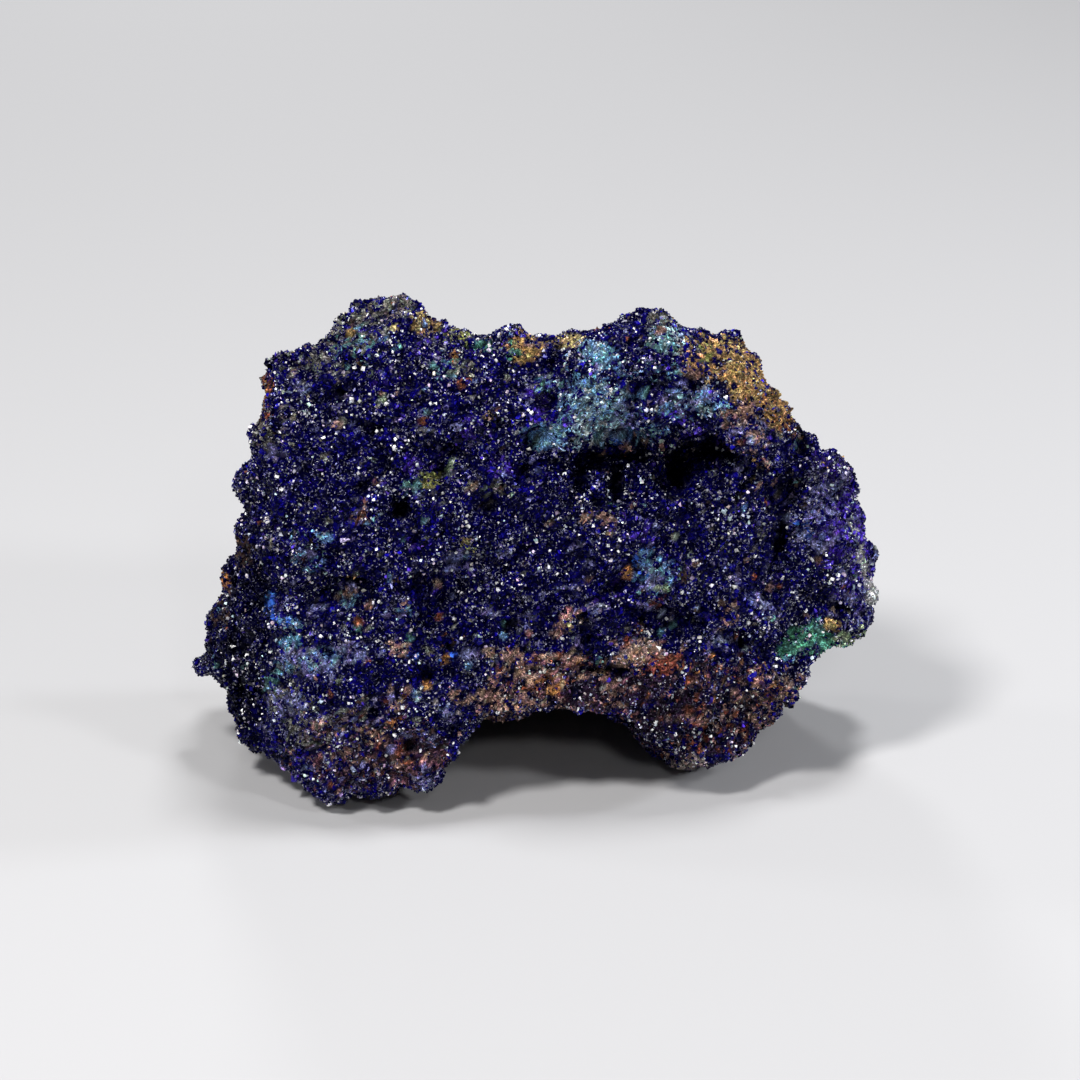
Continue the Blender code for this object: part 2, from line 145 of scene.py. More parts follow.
# Patches of the front: (x, y, half width, half height, mineral, share of the grains), placed as
# the camera's 1080 by 1080 frame shows them. Where a patch is turned, the angle in degrees comes
# last, as in the three lists that follow. Later patches lie over earlier ones.
PATCHES = [
    (330, 745, 80, 52, "lavender", 0.21),
    (375, 755, 80, 36, "pink_brown", 0.30),
    (370, 750, 80, 36, "peach", 0.06),
    (375, 735, 80, 46, "tan", 0.07),
    (360, 745, 80, 46, "deep_violet", 0.14),
    (380, 740, 80, 46, "rust", 0.05),
    (430, 765, 32, 28, "pink_brown", 0.50),
    (330, 720, 70, 34, "crust", 0.12, 20),
    (290, 705, 16, 40, "crust", 0.30, -12),
    # Painted shade: very dark azurite on the lower left side, which lies in shadow.
    (240, 688, 27, 52, "painted_shade_azurite", 0.60),
    (262, 600, 8, 60, "painted_shade_azurite", 0.55),
    (225, 640, 26, 24, "painted_shade_azurite", 0.60),
    (690, 700, 84, 42, "pink_brown", 0.34),
    (700, 700, 84, 46, "peach", 0.06),
    (700, 690, 80, 40, "rust", 0.12),
    (720, 690, 80, 40, "orange", 0.05),
    # Painted shade: very dark azurite on the lower parts of the right foot and the band.
    (690, 715, 70, 46, "painted_shade_azurite", 0.28),
    (770, 700, 34, 30, "tan", 0.42, 30),
    (700, 738, 60, 32, "rust", 0.20),
    (700, 738, 60, 32, "tan", 0.16),
    (560, 682, 84, 24, "painted_shade_azurite", 0.45),
    (560, 682, 84, 24, "pink_brown", 0.42),
    (560, 680, 84, 22, "peach", 0.34),
    (570, 678, 80, 24, "rust", 0.12),
    (550, 676, 70, 20, "orange", 0.05),
    (500, 712, 50, 12, "tan", 0.62, 22),
    (560, 702, 60, 9, "tan", 0.60),
    (375, 308, 42, 18, "crust", 0.30, 8),
    (398, 300, 18, 8, "crust", 0.60, 20),
    (315, 360, 40, 20, "crust", 0.34, 15),
    (360, 330, 50, 24, "crust", 0.26, -20),
    (275, 400, 22, 50, "crust", 0.16, 10),
    (352, 350, 34, 20, "teal", 0.24, -10),
    (335, 340, 40, 20, "crust", 0.20, -30),
    (365, 335, 26, 12, "powder", 0.14),
    (423, 325, 18, 11, "ochre", 0.72),
    (420, 322, 12, 8, "yellow", 0.45),
    (394, 327, 6, 5, "yellow", 0.80),
    (351, 334, 5, 4, "ochre", 0.85),
    (458, 336, 18, 9, "yellow_green", 0.60, 20),
    (480, 346, 16, 8, "malachite", 0.36, 30),
    (397, 350, 7, 10, "teal", 0.50),
    (457, 354, 7, 5, "orange", 0.65),
    (462, 382, 8, 6, "rust", 0.65, -30),
    (446, 370, 16, 12, "teal", 0.30),
    (267, 385, 9, 14, "rust", 0.50, 10),
    (267, 383, 7, 9, "orange", 0.40, 10),
    (260, 415, 10, 16, "rust", 0.60),
    (262, 434, 12, 18, "crust", 0.62),
    (280, 446, 18, 12, "crust", 0.34),
    (337, 425, 4, 4, "tan", 0.70),
    (382, 400, 10, 5, "pale_green", 0.55, -20),
    (412, 462, 10, 13, "violet", 0.75),
    (500, 466, 16, 13, "violet", 0.45),
    (476, 430, 18, 16, "violet", 0.35),
    (428, 348, 16, 10, "violet", 0.35),
    (540, 405, 14, 24, "violet", 0.30),
    (428, 481, 13, 9, "yellow_green", 0.80),
    (411, 486, 10, 8, "teal", 0.65),
    (450, 469, 6, 11, "pale_green", 0.75, 15),
    (363, 516, 8, 10, "rust", 0.55),
    (364, 512, 5, 6, "tan", 0.70),
    (377, 520, 11, 9, "powder", 0.40),
    (312, 546, 24, 18, "powder", 0.18),
    (327, 547, 5, 4, "peach", 0.85),
    (467, 541, 6, 5, "yellow", 0.90),
    (472, 549, 5, 3, "yellow_green", 0.80),
    (490, 492, 22, 11, "crust", 0.36),
    (455, 560, 16, 9, "lavender", 0.40),
    (500, 555, 11, 8, "lavender", 0.35),
    (528, 348, 18, 17, "ochre", 0.78),
    (512, 352, 7, 9, "malachite", 0.60),
    (570, 341, 15, 8, "yellow", 0.80, -12),
    (549, 384, 13, 9, "teal", 0.50),
    (560, 378, 20, 20, "powder", 0.10),
    (600, 351, 20, 14, "powder", 0.88),
    (601, 352, 12, 10, "cyan", 0.85),
    (598, 414, 32, 32, "pale_powder", 0.90),
    (594, 385, 22, 12, "powder", 0.48),
    (634, 400, 26, 30, "powder", 0.10),
    (567, 416, 8, 9, "violet", 0.80),
    (546, 437, 22, 13, "powder", 0.80),
    (590, 441, 34, 8, "pale_powder", 0.60, -6),
    (645, 434, 34, 9, "powder", 0.44, -8),
    (616, 438, 11, 5, "bright_blue", 0.90, 30),
    (668, 336, 20, 20, "pale_powder", 0.55),
    (662, 342, 14, 13, "teal", 0.45),
    (655, 317, 18, 8, "crust", 0.55),
    (662, 330, 6, 5, "tan", 0.70),
    (636, 368, 30, 9, "powder", 0.26),
    (698, 402, 34, 16, "powder", 0.60),
    (690, 395, 34, 22, "lavender", 0.40),
    (662, 408, 12, 10, "violet", 0.20),
    (693, 427, 14, 9, "violet", 0.60),
    (628, 412, 14, 12, "lavender", 0.45),
    (714, 352, 28, 26, "ochre", 0.76),
    (706, 352, 10, 14, "yellow_green", 0.45),
    (746, 374, 36, 30, "ochre", 0.86, 30),
    (764, 388, 20, 26, "ochre", 0.80, -20),
    (765, 402, 26, 22, "orange", 0.52, 30),
    (763, 400, 30, 24, "ochre", 0.52, 30),
    (782, 412, 22, 18, "ochre", 0.80, 35),
    (788, 424, 14, 10, "orange", 0.62, 30),
    (745, 440, 24, 20, "tan", 0.34),
    (740, 425, 24, 20, "lavender", 0.22),
    (722, 334, 32, 7, "azurite", 0.75),
    (718, 362, 12, 8, "azurite", 0.40),
    (695, 372, 7, 5, "orange", 0.75),
    (766, 462, 6, 9, "peach", 0.65),
    (837, 472, 30, 20, "deep_violet", 0.75, 30),
    (828, 508, 34, 38, "lavender", 0.50),
    (803, 526, 12, 9, "bright_blue", 0.26),
    (848, 550, 28, 56, "violet", 0.34),
    (848, 560, 26, 54, "lavender", 0.18),
    (868, 560, 8, 46, "lavender", 0.35),
    (864, 618, 10, 12, "lavender", 0.35),
    (858, 545, 10, 50, "violet", 0.40, -16),
    # Painted highlight along the right rim, where the light from the right catches it.
    (857, 542, 5, 36, "ice", 0.60, -16),
    (866, 574, 4, 20, "ice", 0.70, -18),
    (873, 597, 7, 11, "ice", 1.00, -10),
    (586, 517, 9, 5, "peach", 0.80, -15),
    (600, 524, 18, 12, "tan", 0.30),
    (640, 528, 24, 18, "violet", 0.30),
    (655, 578, 24, 15, "powder", 0.36),
    (660, 574, 16, 10, "lavender", 0.30),
    (645, 560, 10, 16, "bright_blue", 0.35),
    (663, 588, 10, 5, "pale_green", 0.75),
    (656, 604, 9, 7, "red_brown", 0.65),
    (685, 577, 8, 6, "brown", 0.70),
    (628, 572, 6, 6, "orange", 0.70),
    (565, 620, 10, 10, "peach", 0.85),
    (566, 626, 6, 6, "yellow", 0.75),
    (581, 615, 6, 5, "tan", 0.80),
    (597, 613, 14, 10, "lavender", 0.40),
    (640, 655, 26, 12, "tan", 0.82, -15),
    (663, 664, 20, 11, "red_brown", 0.92, -20),
    (650, 650, 24, 8, "peach", 0.62, -12),
    (628, 641, 4, 4, "red_brown", 0.90),
    (715, 642, 22, 12, "lavender", 0.34),
    (765, 607, 20, 14, "lavender", 0.40),
    (730, 614, 12, 18, "tan", 0.34, 30),
    (695, 763, 20, 9, "grey_pink", 0.95),
    (702, 722, 6, 5, "peach", 0.80),
    (760, 722, 22, 8, "tan", 0.60, 25),
    (804, 642, 28, 17, "malachite", 0.80, -15),
    (822, 624, 10, 7, "teal", 0.60),
    (850, 640, 24, 11, "pale_green", 0.80, -8),
    (834, 648, 16, 7, "malachite", 0.60, -8),
    (833, 625, 9, 7, "ochre", 0.90),
    (834, 624, 6, 5, "yellow", 0.60),
    (790, 659, 8, 5, "cyan", 0.65),
    (790, 700, 18, 22, "ochre", 0.30),
    # Painted shade: very dark azurite on the left side, which lies in shadow.
    (240, 565, 22, 36, "painted_shade_azurite", 0.45, 10),
    (243, 547, 13, 18, "brown", 0.66),
    (226, 580, 6, 12, "orange", 0.75),
    (218, 612, 13, 18, "brown", 0.46),
    (312, 560, 18, 16, "powder", 0.14),
    (269, 604, 6, 12, "bright_blue", 0.90),
    (289, 623, 14, 6, "powder", 0.85, 15),
    (280, 622, 10, 6, "bright_blue", 0.65, 15),
    (289, 643, 12, 9, "cyan", 0.85, 20),
    (303, 664, 36, 20, "lavender", 0.66),
    (318, 658, 30, 14, "powder", 0.42),
    (300, 660, 22, 14, "crust", 0.30),
    (270, 683, 10, 10, "teal", 0.50),
    (282, 694, 18, 12, "crust", 0.40),
    (285, 706, 7, 7, "violet", 0.60),
    (347, 593, 10, 5, "tan", 1.00, -15),
    (345, 592, 5, 3, "pale_green", 0.60),
    (352, 601, 14, 7, "powder", 0.40),
    (358, 622, 6, 6, "rust", 0.95),
    (405, 606, 6, 4, "peach", 0.90),
    (404, 614, 10, 8, "powder", 0.40),
    (344, 649, 7, 4, "tan", 0.90),
    (367, 656, 7, 7, "red_brown", 0.65),
    (402, 648, 14, 9, "tan", 0.55),
    (411, 638, 6, 4, "teal", 0.75),
    (414, 656, 7, 4, "bright_blue", 0.80, 20),
    (425, 684, 6, 5, "orange", 0.90),
    (450, 657, 14, 6, "bright_blue", 0.45),
    (470, 656, 12, 8, "lavender", 0.55),
    (446, 658, 5, 5, "orange", 0.80),
    (497, 655, 13, 8, "peach", 0.65),
    (512, 654, 8, 7, "tan", 0.75),
    (395, 724, 10, 5, "orange", 0.55),
    (320, 727, 10, 8, "tan", 0.60),
    (348, 754, 12, 8, "tan", 0.55),
    (374, 737, 11, 8, "peach", 0.50),
    (405, 758, 14, 9, "rust", 0.42),
    (422, 735, 16, 10, "lavender", 0.50),
    (536, 667, 26, 12, "peach", 0.45, -20),
    (600, 676, 80, 26, "painted_shade_azurite", 0.26),
    (640, 652, 26, 11, "peach", 0.66, -12),
    (638, 652, 24, 9, "grey_pink", 0.35, -12),
    (642, 655, 18, 7, "yellow", 0.34, -12),
    (610, 694, 60, 16, "plum", 0.60, -12),
    (650, 725, 36, 16, "plum", 0.55, -32),
    (700, 722, 76, 50, "plum", 0.26),
    (375, 745, 76, 46, "plum", 0.16),
    (520, 708, 60, 7, "peach", 0.35, 20),
    (552, 686, 10, 8, "orange", 0.55),
    (690, 369, 10, 12, "ochre", 0.60),
    (672, 371, 11, 8, "powder", 0.45),
    (750, 411, 16, 12, "tan", 0.50),
    (358, 657, 14, 9, "lavender", 0.50),
    (560, 628, 9, 9, "peach", 0.70),
    (648, 606, 11, 9, "lavender", 0.45),
    (666, 611, 10, 8, "lavender", 0.32),
    (601, 432, 16, 8, "pale_powder", 0.75),
    (632, 421, 13, 10, "lavender", 0.60),
    (583, 549, 13, 10, "lavender", 0.42),
    (525, 621, 11, 9, "lavender", 0.45),
    (450, 714, 12, 9, "lavender", 0.42),
    (284, 668, 12, 12, "powder", 0.40),
    (349, 588, 13, 8, "lavender", 0.35),
    (430, 778, 17, 12, "lavender", 0.38),
    (744, 462, 11, 9, "lavender", 0.35),
    (391, 610, 12, 9, "lavender", 0.42),
    (274, 451, 13, 10, "lavender", 0.42),
    (297, 389, 12, 10, "lavender", 0.42),
    (738, 585, 13, 10, "lavender", 0.36),
    (793, 504, 9, 9, "lavender", 0.55),
    (597, 434, 15, 7, "powder", 0.70),
    (341, 647, 13, 8, "lavender", 0.45),
    (664, 668, 12, 8, "red_brown", 0.70),
    (614, 688, 13, 8, "tan", 0.50),
    (648, 560, 12, 9, "powder", 0.38),
    (454, 568, 12, 9, "lavender", 0.38),
    (565, 592, 12, 9, "lavender", 0.34),
    (752, 597, 12, 10, "lavender", 0.34),
    (459, 598, 11, 8, "lavender", 0.26),
    (303, 562, 13, 10, "powder", 0.36),
    (704, 412, 12, 9, "pale_powder", 0.45),
    (731, 418, 12, 10, "tan", 0.42),
    (354, 786, 14, 9, "lavender", 0.40),
    (286, 702, 20, 16, "lavender", 0.50),
    (600, 431, 14, 6, "pale_powder", 0.60),
    (799, 496, 10, 8, "lavender", 0.50),
    (693, 373, 12, 9, "tan", 0.50),
    (563, 628, 13, 8, "tan", 0.45),
    (686, 348, 11, 8, "crust", 0.45),
    (465, 370, 12, 9, "crust", 0.36),
    (745, 466, 11, 9, "lavender", 0.36),
    (320, 608, 12, 9, "lavender", 0.38),
    (490, 485, 11, 8, "crust", 0.32),
    (653, 583, 12, 9, "lavender", 0.36),
    (491, 612, 11, 8, "lavender", 0.36),
    (647, 608, 12, 8, "lavender", 0.34),
    (271, 453, 11, 9, "lavender", 0.38),
    (306, 552, 11, 9, "lavender", 0.36),
    (595, 408, 30, 24, "powder", 0.28),
    (596, 350, 16, 10, "pale_powder", 0.30),
    (647, 654, 17, 9, "peach", 0.50, -12),
    (570, 341, 11, 6, "yellow", 0.50, -12),
    (742, 384, 26, 22, "ochre", 0.40, 30),
    (633, 417, 12, 8, "powder", 0.40),
    (564, 412, 12, 9, "powder", 0.36),
    (790, 522, 10, 14, "lavender", 0.50),
    (583, 561, 11, 9, "lavender", 0.36),
    (692, 372, 10, 8, "tan", 0.50),
    (718, 562, 11, 9, "lavender", 0.36),
    (664, 666, 11, 7, "red_brown", 0.50),
    (364, 514, 10, 8, "lavender", 0.45),
]

# Dark hollows and standing knobs of the front: (x, y, half width, half height, millimetres),
# in the same frame. A hollow's number is below 0.
HOLLOWS = [
    (616, 462, 58, 10, -3.0, -3), (668, 482, 14, 16, -3.0, -25), (617, 488, 7, 20, -2.6),
    (577, 478, 6, 14, -1.6), (704, 450, 36, 8, -2.2), (722, 426, 8, 8, -1.4, 30),
    (566, 462, 16, 8, -1.4, -20), (530, 440, 12, 9, -1.5), (547, 400, 11, 9, -1.5),
    (558, 361, 9, 12, -1.4), (632, 342, 5, 12, -1.1, 15), (650, 378, 20, 5, -1.1, 30),
    (690, 385, 9, 7, -1.1), (340, 393, 7, 8, -1.5), (293, 367, 6, 6, -1.0), (372, 428, 11, 8, -1.3),
    (386, 458, 6, 24, -1.3, -30), (362, 487, 8, 6, -1.2), (441, 470, 5, 10, -1.2),
    (450, 447, 9, 6, -1.0), (400, 508, 8, 11, -1.6), (430, 382, 4, 14, -0.9, 10),
    (247, 512, 12, 8, -1.4), (268, 494, 6, 9, -1.2), (412, 540, 8, 6, -1.2),
    (490, 507, 16, 5, -1.1), (525, 547, 12, 7, -1.2), (518, 468, 7, 8, -1.1),
    (262, 694, 8, 24, -1.7), (270, 648, 8, 10, -1.5), (246, 688, 14, 8, -1.3),
    (250, 612, 12, 9, -1.0), (335, 556, 12, 7, -1.3), (358, 576, 12, 5, -1.2),
    (418, 580, 7, 13, -1.6), (470, 583, 18, 6, -1.3), (510, 625, 8, 11, -1.5),
    (524, 651, 7, 6, -1.2), (425, 671, 9, 9, -1.4), (372, 712, 10, 8, -1.2), (455, 732, 8, 7, -1.5),
    (410, 745, 8, 8, -1.1), (612, 586, 10, 8, -1.3), (637, 619, 5, 20, -1.4, -45),
    (606, 669, 24, 4, -1.3), (706, 605, 9, 7, -1.5, 25), (700, 622, 6, 5, -1.1),
    (733, 638, 12, 8, -1.6, 25), (742, 650, 8, 8, -1.2), (780, 535, 8, 20, -2.2, 8),
    (795, 494, 6, 14, -2.0, 30), (772, 562, 5, 14, -1.3, 15), (838, 507, 5, 26, -1.3, -25),
    (836, 610, 11, 8, -1.3), (745, 708, 8, 13, -1.3), (705, 740, 5, 11, -1.1),
    (400, 510, 12, 14, -0.9), (372, 430, 12, 10, -0.6), (600, 483, 14, 18, 1.0),
    (637, 484, 14, 19, 1.2), (745, 482, 16, 15, 0.9), (765, 520, 14, 14, 0.8),
    (710, 500, 24, 20, 0.8), (300, 664, 34, 10, 0.8), (275, 700, 9, 26, 0.8, -12),
    (560, 655, 40, 8, 0.7, -12),
]

# Painted shade, where the crystals lie in shadow: (x, y, half width, half height, how much light is
# lost).
PAINTED_SHADE = [
    (240, 690, 30, 60, 0.45), (228, 650, 34, 34, 0.40), (250, 600, 16, 60, 0.40, 8),
    (235, 560, 22, 44, 0.30, 10), (620, 470, 70, 16, 0.55, -3), (690, 462, 60, 16, 0.45),
    (668, 486, 16, 22, 0.65, -25), (577, 482, 12, 22, 0.45), (400, 508, 14, 16, 0.75),
    (386, 458, 10, 26, 0.60, -30), (372, 428, 14, 11, 0.60), (340, 393, 10, 11, 0.60),
    (362, 487, 11, 9, 0.55), (441, 470, 7, 14, 0.65), (418, 580, 9, 16, 0.60),
    (510, 625, 10, 13, 0.55), (780, 540, 12, 28, 0.55, 8), (796, 486, 8, 14, 0.55, 30),
    (650, 722, 50, 16, 0.35, -32), (620, 690, 40, 10, 0.30, -10), (695, 725, 72, 46, 0.22),
    (365, 745, 80, 46, 0.14), (282, 364, 13, 10, 0.45), (487, 347, 10, 8, 0.30),
    (643, 337, 8, 12, 0.40), (568, 376, 14, 9, 0.35), (285, 552, 13, 10, 0.50),
    (489, 543, 11, 10, 0.50), (597, 506, 24, 10, 0.60), (839, 480, 13, 12, 0.40),
    (581, 674, 14, 8, 0.40), (223, 611, 10, 14, 0.45), (778, 666, 13, 10, 0.35),
    (251, 514, 13, 9, 0.60), (345, 615, 13, 8, 0.45), (667, 404, 18, 10, 0.30),
    (242, 482, 12, 10, 0.50), (616, 513, 12, 9, 0.30), (239, 594, 12, 12, 0.35),
    (327, 346, 12, 9, 0.30), (388, 313, 13, 8, 0.30), (506, 665, 13, 8, 0.35),
    (370, 726, 13, 9, 0.35), (344, 417, 13, 9, 0.45), (487, 701, 13, 8, 0.40),
    (284, 755, 12, 9, 0.45), (312, 784, 12, 8, 0.35), (716, 505, 13, 10, 0.45),
    (740, 699, 13, 10, 0.40), (801, 679, 10, 9, 0.30), (250, 504, 12, 10, 0.50),
    (482, 536, 12, 9, 0.40), (255, 651, 12, 10, 0.45), (813, 468, 12, 9, 0.35),
    (488, 351, 12, 9, 0.25), (341, 403, 11, 8, 0.40), (207, 656, 10, 9, 0.35),
    (840, 484, 12, 12, 0.35), (488, 701, 12, 8, 0.30), (827, 547, 12, 9, 0.35),
    (837, 574, 12, 10, 0.35), (776, 668, 10, 9, 0.30), (741, 704, 12, 9, 0.40),
    (304, 781, 13, 9, 0.35), (550, 520, 12, 9, 0.40), (807, 468, 12, 10, 0.35),
    (838, 579, 11, 9, 0.30), (704, 528, 12, 9, 0.38), (839, 468, 10, 10, 0.30),
    (425, 418, 12, 9, 0.35), (404, 432, 11, 9, 0.40), (264, 721, 11, 9, 0.35),
    (378, 726, 12, 8, 0.35),
]

# Where the outline lies lower or higher than the plain form: (x, y, half width, half height,
# millimetres).
EDGES = [
    (500, 328, 80, 20, -0.7), (477, 334, 12, 10, -1.0), (514, 328, 12, 8, 0.4),
    (438, 320, 14, 10, -0.9, 20), (391, 298, 36, 10, 0.6), (344, 318, 9, 10, -0.7, -40),
    (333, 328, 24, 10, -0.5, -40), (300, 345, 24, 8, -0.5, -25), (266, 362, 7, 9, -0.4),
    (258, 395, 14, 56, -0.8, 8), (244, 462, 10, 22, -0.7, 20), (228, 564, 14, 34, -0.6, 15),
    (640, 304, 30, 10, -0.4), (605, 318, 14, 8, -0.4, -20), (690, 322, 20, 12, -0.9),
    (715, 328, 18, 8, -0.4), (758, 338, 14, 14, -0.9, 45), (775, 372, 9, 18, -0.9, -30),
    (780, 396, 10, 10, -0.9), (802, 420, 16, 16, -0.9, -40), (833, 453, 9, 7, 0.9),
    (858, 494, 10, 20, -0.6, -10), (868, 550, 8, 26, 0.6, -10), (200, 668, 14, 12, 1.0),
    (228, 690, 8, 20, 0.3), (264, 748, 11, 8, 0.6), (282, 766, 14, 8, -0.5, 45),
    (868, 626, 12, 22, 1.0), (856, 642, 16, 10, 0.5), (840, 646, 26, 8, 0.5),
    (803, 688, 10, 20, 1.4, 25), (772, 716, 14, 14, 0.9), (736, 754, 24, 12, 0.7, -20),
    (690, 768, 26, 10, 0.5), (634, 732, 12, 24, 0.8, -30), (555, 708, 50, 9, 0.4),
    (484, 716, 20, 9, 0.6), (453, 763, 9, 14, 1.4), (380, 796, 20, 7, 0.4),
]

# Broad covers away from the front: (middle, reach) in millimetres, mineral, share.
FAR_PATCHES = [
    ((-20, 22, 44), (16, 9, 12), "azurite", 0.75),
    ((18, 22, 30), (15, 9, 12), "azurite", 0.62),
    ((-32, 12, 18), (9, 11, 11), "azurite", 0.72),
    ((40, 8, 26), (9, 14, 14), "azurite", 0.72),
    ((0, 8, 60), (34, 12, 7), "azurite", 0.62),
    ((4, 21, 48), (11, 9, 7), "malachite", 0.70),
    ((-8, 23, 22), (10, 6, 8), "malachite", 0.52),
    ((27, 19, 14), (9, 8, 7), "orange", 0.50),
    ((-34, 16, 40), (7, 8, 8), "teal", 0.45),
    ((36, 12, 42), (8, 8, 6), "ochre", 0.70),
    ((-6, 21, 34), (8, 6, 6), "powder", 0.45),
]


# ---- repeatable noise ----

def hashed(cells, seed):
    """A number from 0 to 1 for each whole-number cell."""
    i, j, k = (cells[..., n].astype(np.int64) for n in range(3))
    h = (i * 73856093) ^ (j * 19349663) ^ (k * 83492791) ^ (seed * 40503)
    h &= 0xFFFFFFFF
    for _ in range(2):
        h = ((h ^ (h >> 15)) * 0x2C1B3C6D) & 0xFFFFFFFF
        h = ((h ^ (h >> 13)) * 0x297A2D39) & 0xFFFFFFFF
    return ((h ^ (h >> 16)) & 0xFFFFFF) / float(0x1000000)


def smooth_noise(points, apart, seed):
    """Rolling noise from 0 to 1 whose hills are this far apart."""
    p = points / apart
    low = np.floor(p)
    t = p - low
    t = t * t * (3.0 - 2.0 * t)
    total = np.zeros(len(p))
    for corner in np.ndindex(2, 2, 2):
        step = np.array(corner)
        weight = np.where(step, t, 1.0 - t).prod(axis=1)
        total += weight * hashed(low + step, seed)
    return total


def layered_noise(points, apart, seed, layers=3):
    total = np.zeros(len(points))
    reach = 0.0
    for layer in range(layers):
        strength = 0.5 ** layer
        total += strength * smooth_noise(points, apart * 0.5 ** layer, seed + 7 * layer)
        reach += strength
    return total / reach


def knobs_near(points, apart, seed):
    """For each point, in knob widths: how far the nearest knob's middle is, how much farther the
    next one is, and the nearest knob's own number from 0 to 1."""
    p = points / apart
    low = np.floor(p)
    near = np.full(len(p), 9.0)
    second = np.full(len(p), 9.0)
    number = np.zeros(len(p))
    for step in np.ndindex(3, 3, 3):
        cell = low + np.array(step) - 1.0
        jitter = np.stack([hashed(cell, seed + n) for n in range(3)], axis=1)
        gap = np.linalg.norm(cell + jitter - p, axis=1)
        second = np.minimum(second, np.maximum(gap, near))
        number = np.where(gap < near, hashed(cell, seed + 5), number)
        near = np.minimum(near, gap)
    return near, second - near, number


# ---- meshes ----

def read_mesh(mesh):
    """(points, normals) of a mesh's corners."""
    count = len(mesh.vertices)
    points = np.empty(count * 3, np.float32)
    normals = np.empty(count * 3, np.float32)
    mesh.vertices.foreach_get("co", points)
    mesh.vertex_normals.foreach_get("vector", normals)
    return points.reshape(-1, 3).astype(float), normals.reshape(-1, 3).astype(float)


def add_piece(name, mesh, material):
    piece = bpy.data.objects.new(name, mesh)
    bpy.context.scene.collection.objects.link(piece)
    mesh.materials.clear()
    mesh.materials.append(material)
    return piece


def settle(piece):
    """Make what the modifiers show part of the mesh."""
    graph = bpy.context.evaluated_depsgraph_get()
    mesh = bpy.data.meshes.new_from_object(piece.evaluated_get(graph))
    piece.modifiers.clear()
    piece.data = mesh


def in_frame(points):
    """Where each point shows in the camera's frame, in 1080ths of its width."""
    away = points - (np.array(TARGET) + TO_CAMERA * DISTANCE)
    depth = -away @ TO_CAMERA
    x = 0.5 + away[:, 0] / depth * LENS / SENSOR - SHIFT_X
    y = 0.5 - away @ FRAME_UP / depth * LENS / SENSOR + SHIFT_Y
    return x * FRAME_SIDE, y * FRAME_SIDE


def ellipse(x, y, cx, cy, wide, high, turn=0):
    """1 on the edge of an ellipse, 0 in its middle."""
    c, s = math.cos(math.radians(turn)), math.sin(math.radians(turn))
    a = ((x - cx) * c + (y - cy) * s) / wide
    b = ((y - cy) * c - (x - cx) * s) / high
    return np.sqrt(a * a + b * b)


def ragged_edge(points):
    """Noise that makes the edges of the hollows and the dark places uneven."""
    return layered_noise(points, 2.2 * MM, 61)


# ---- which mineral grows where ----

def another(chance, factor):
    """A second number from 0 to 1, made from the first but as good as drawn anew."""
    return (chance * factor) % 1.0


def is_glassy(kind):
    return np.array([MINERALS[name][2] for name in NAMES])[kind]


def minerals_at(points, normals, chance):
    """The number of the mineral at each point. `chance` is a number from 0 to 1 for each point."""
    rolling = layered_noise(points, 3.2 * MM, 51)
    ragged = layered_noise(points, 1.1 * MM, 77)
    facing = normals @ TO_CAMERA
    shown = facing > -0.12 + 0.2 * (rolling - 0.5)
    kind = np.full(len(points), NAMES.index("azurite"))

    speck, _, number = knobs_near(points, *SPECK)
    for index, name in enumerate(SPECKS):
        low = SPECK_SHARE * index
        hit = (number > low) & (number < low + SPECK_SHARE) & (speck < SPECK_RADIUS)
        kind[hit] = NAMES.index(name)
    sprinkle = another(chance, 37.0)
    kind[(sprinkle < 0.035) & (rolling > 0.5)] = NAMES.index("lavender")
    kind[(sprinkle > 0.975) & (ragged > 0.5)] = NAMES.index("crust")
    kind[(sprinkle > 0.93) & (sprinkle < 0.955) & (rolling > 0.48)] = NAMES.index("violet")

    fragment = knobs_near(points, *FRAGMENT)[2]
    picked = np.where(another(chance, 53.1) < 0.30, chance, fragment)
    x, y = in_frame(points)
    for index, (cx, cy, wide, high, name, share, *turn) in enumerate(PATCHES):
        gap = ellipse(x, y, cx, cy, wide, high, *turn)
        fade = 1.15 - gap + 0.9 * (rolling - 0.5) + 0.7 * (ragged - 0.5)
        roll = another(picked, 13.7 + 3.1 * index)
        kind[shown & (roll < share * np.clip(fade * 2.2, 0.0, 1.0))] = NAMES.index(name)

    far = ~shown
    zone = layered_noise(points, 9.0 * MM, 131, 2)
    earth = np.where(ragged > 0.52, NAMES.index("brown"), NAMES.index("ochre"))
    earth = np.where((zone < 0.42) & (ragged < 0.52), NAMES.index("rust"), earth)
    earth = np.where((zone > 0.56) & (ragged < 0.55), NAMES.index("pink_brown"), earth)
    earth = np.where((zone > 0.62) & (ragged < 0.44), NAMES.index("tan"), earth)
    earth = np.where((rolling > 0.62) & (ragged > 0.5), NAMES.index("crust"), earth)
    kind[far] = earth[far]
    edge = np.clip((facing + 0.75) * 1.6, 0.0, 1.0)
    blue = far & (another(chance, 5.3) < 0.16 + 0.62 * edge)
    kind[blue] = NAMES.index("azurite")
    for index, (middle, reach, name, share) in enumerate(FAR_PATCHES):
        gap = np.linalg.norm((points / MM - np.array(middle)) / np.array(reach), axis=1)
        fade = 1.1 - gap + 1.2 * (rolling - 0.5) + 0.6 * (ragged - 0.5)
        roll = another(chance, 7.9 + 2.3 * index)
        kind[far & (roll < share * np.clip(fade * 2.0, 0.0, 1.0))] = NAMES.index(name)
    return kind


def crack_shade(points):
    """Painted shade in the cracks between the fragments: how much of a colour is left beside them."""
    gap = knobs_near(points, *FRAGMENT)[1]
    return 0.28 + 0.72 * np.clip(gap / 0.26, 0.0, 1.0)


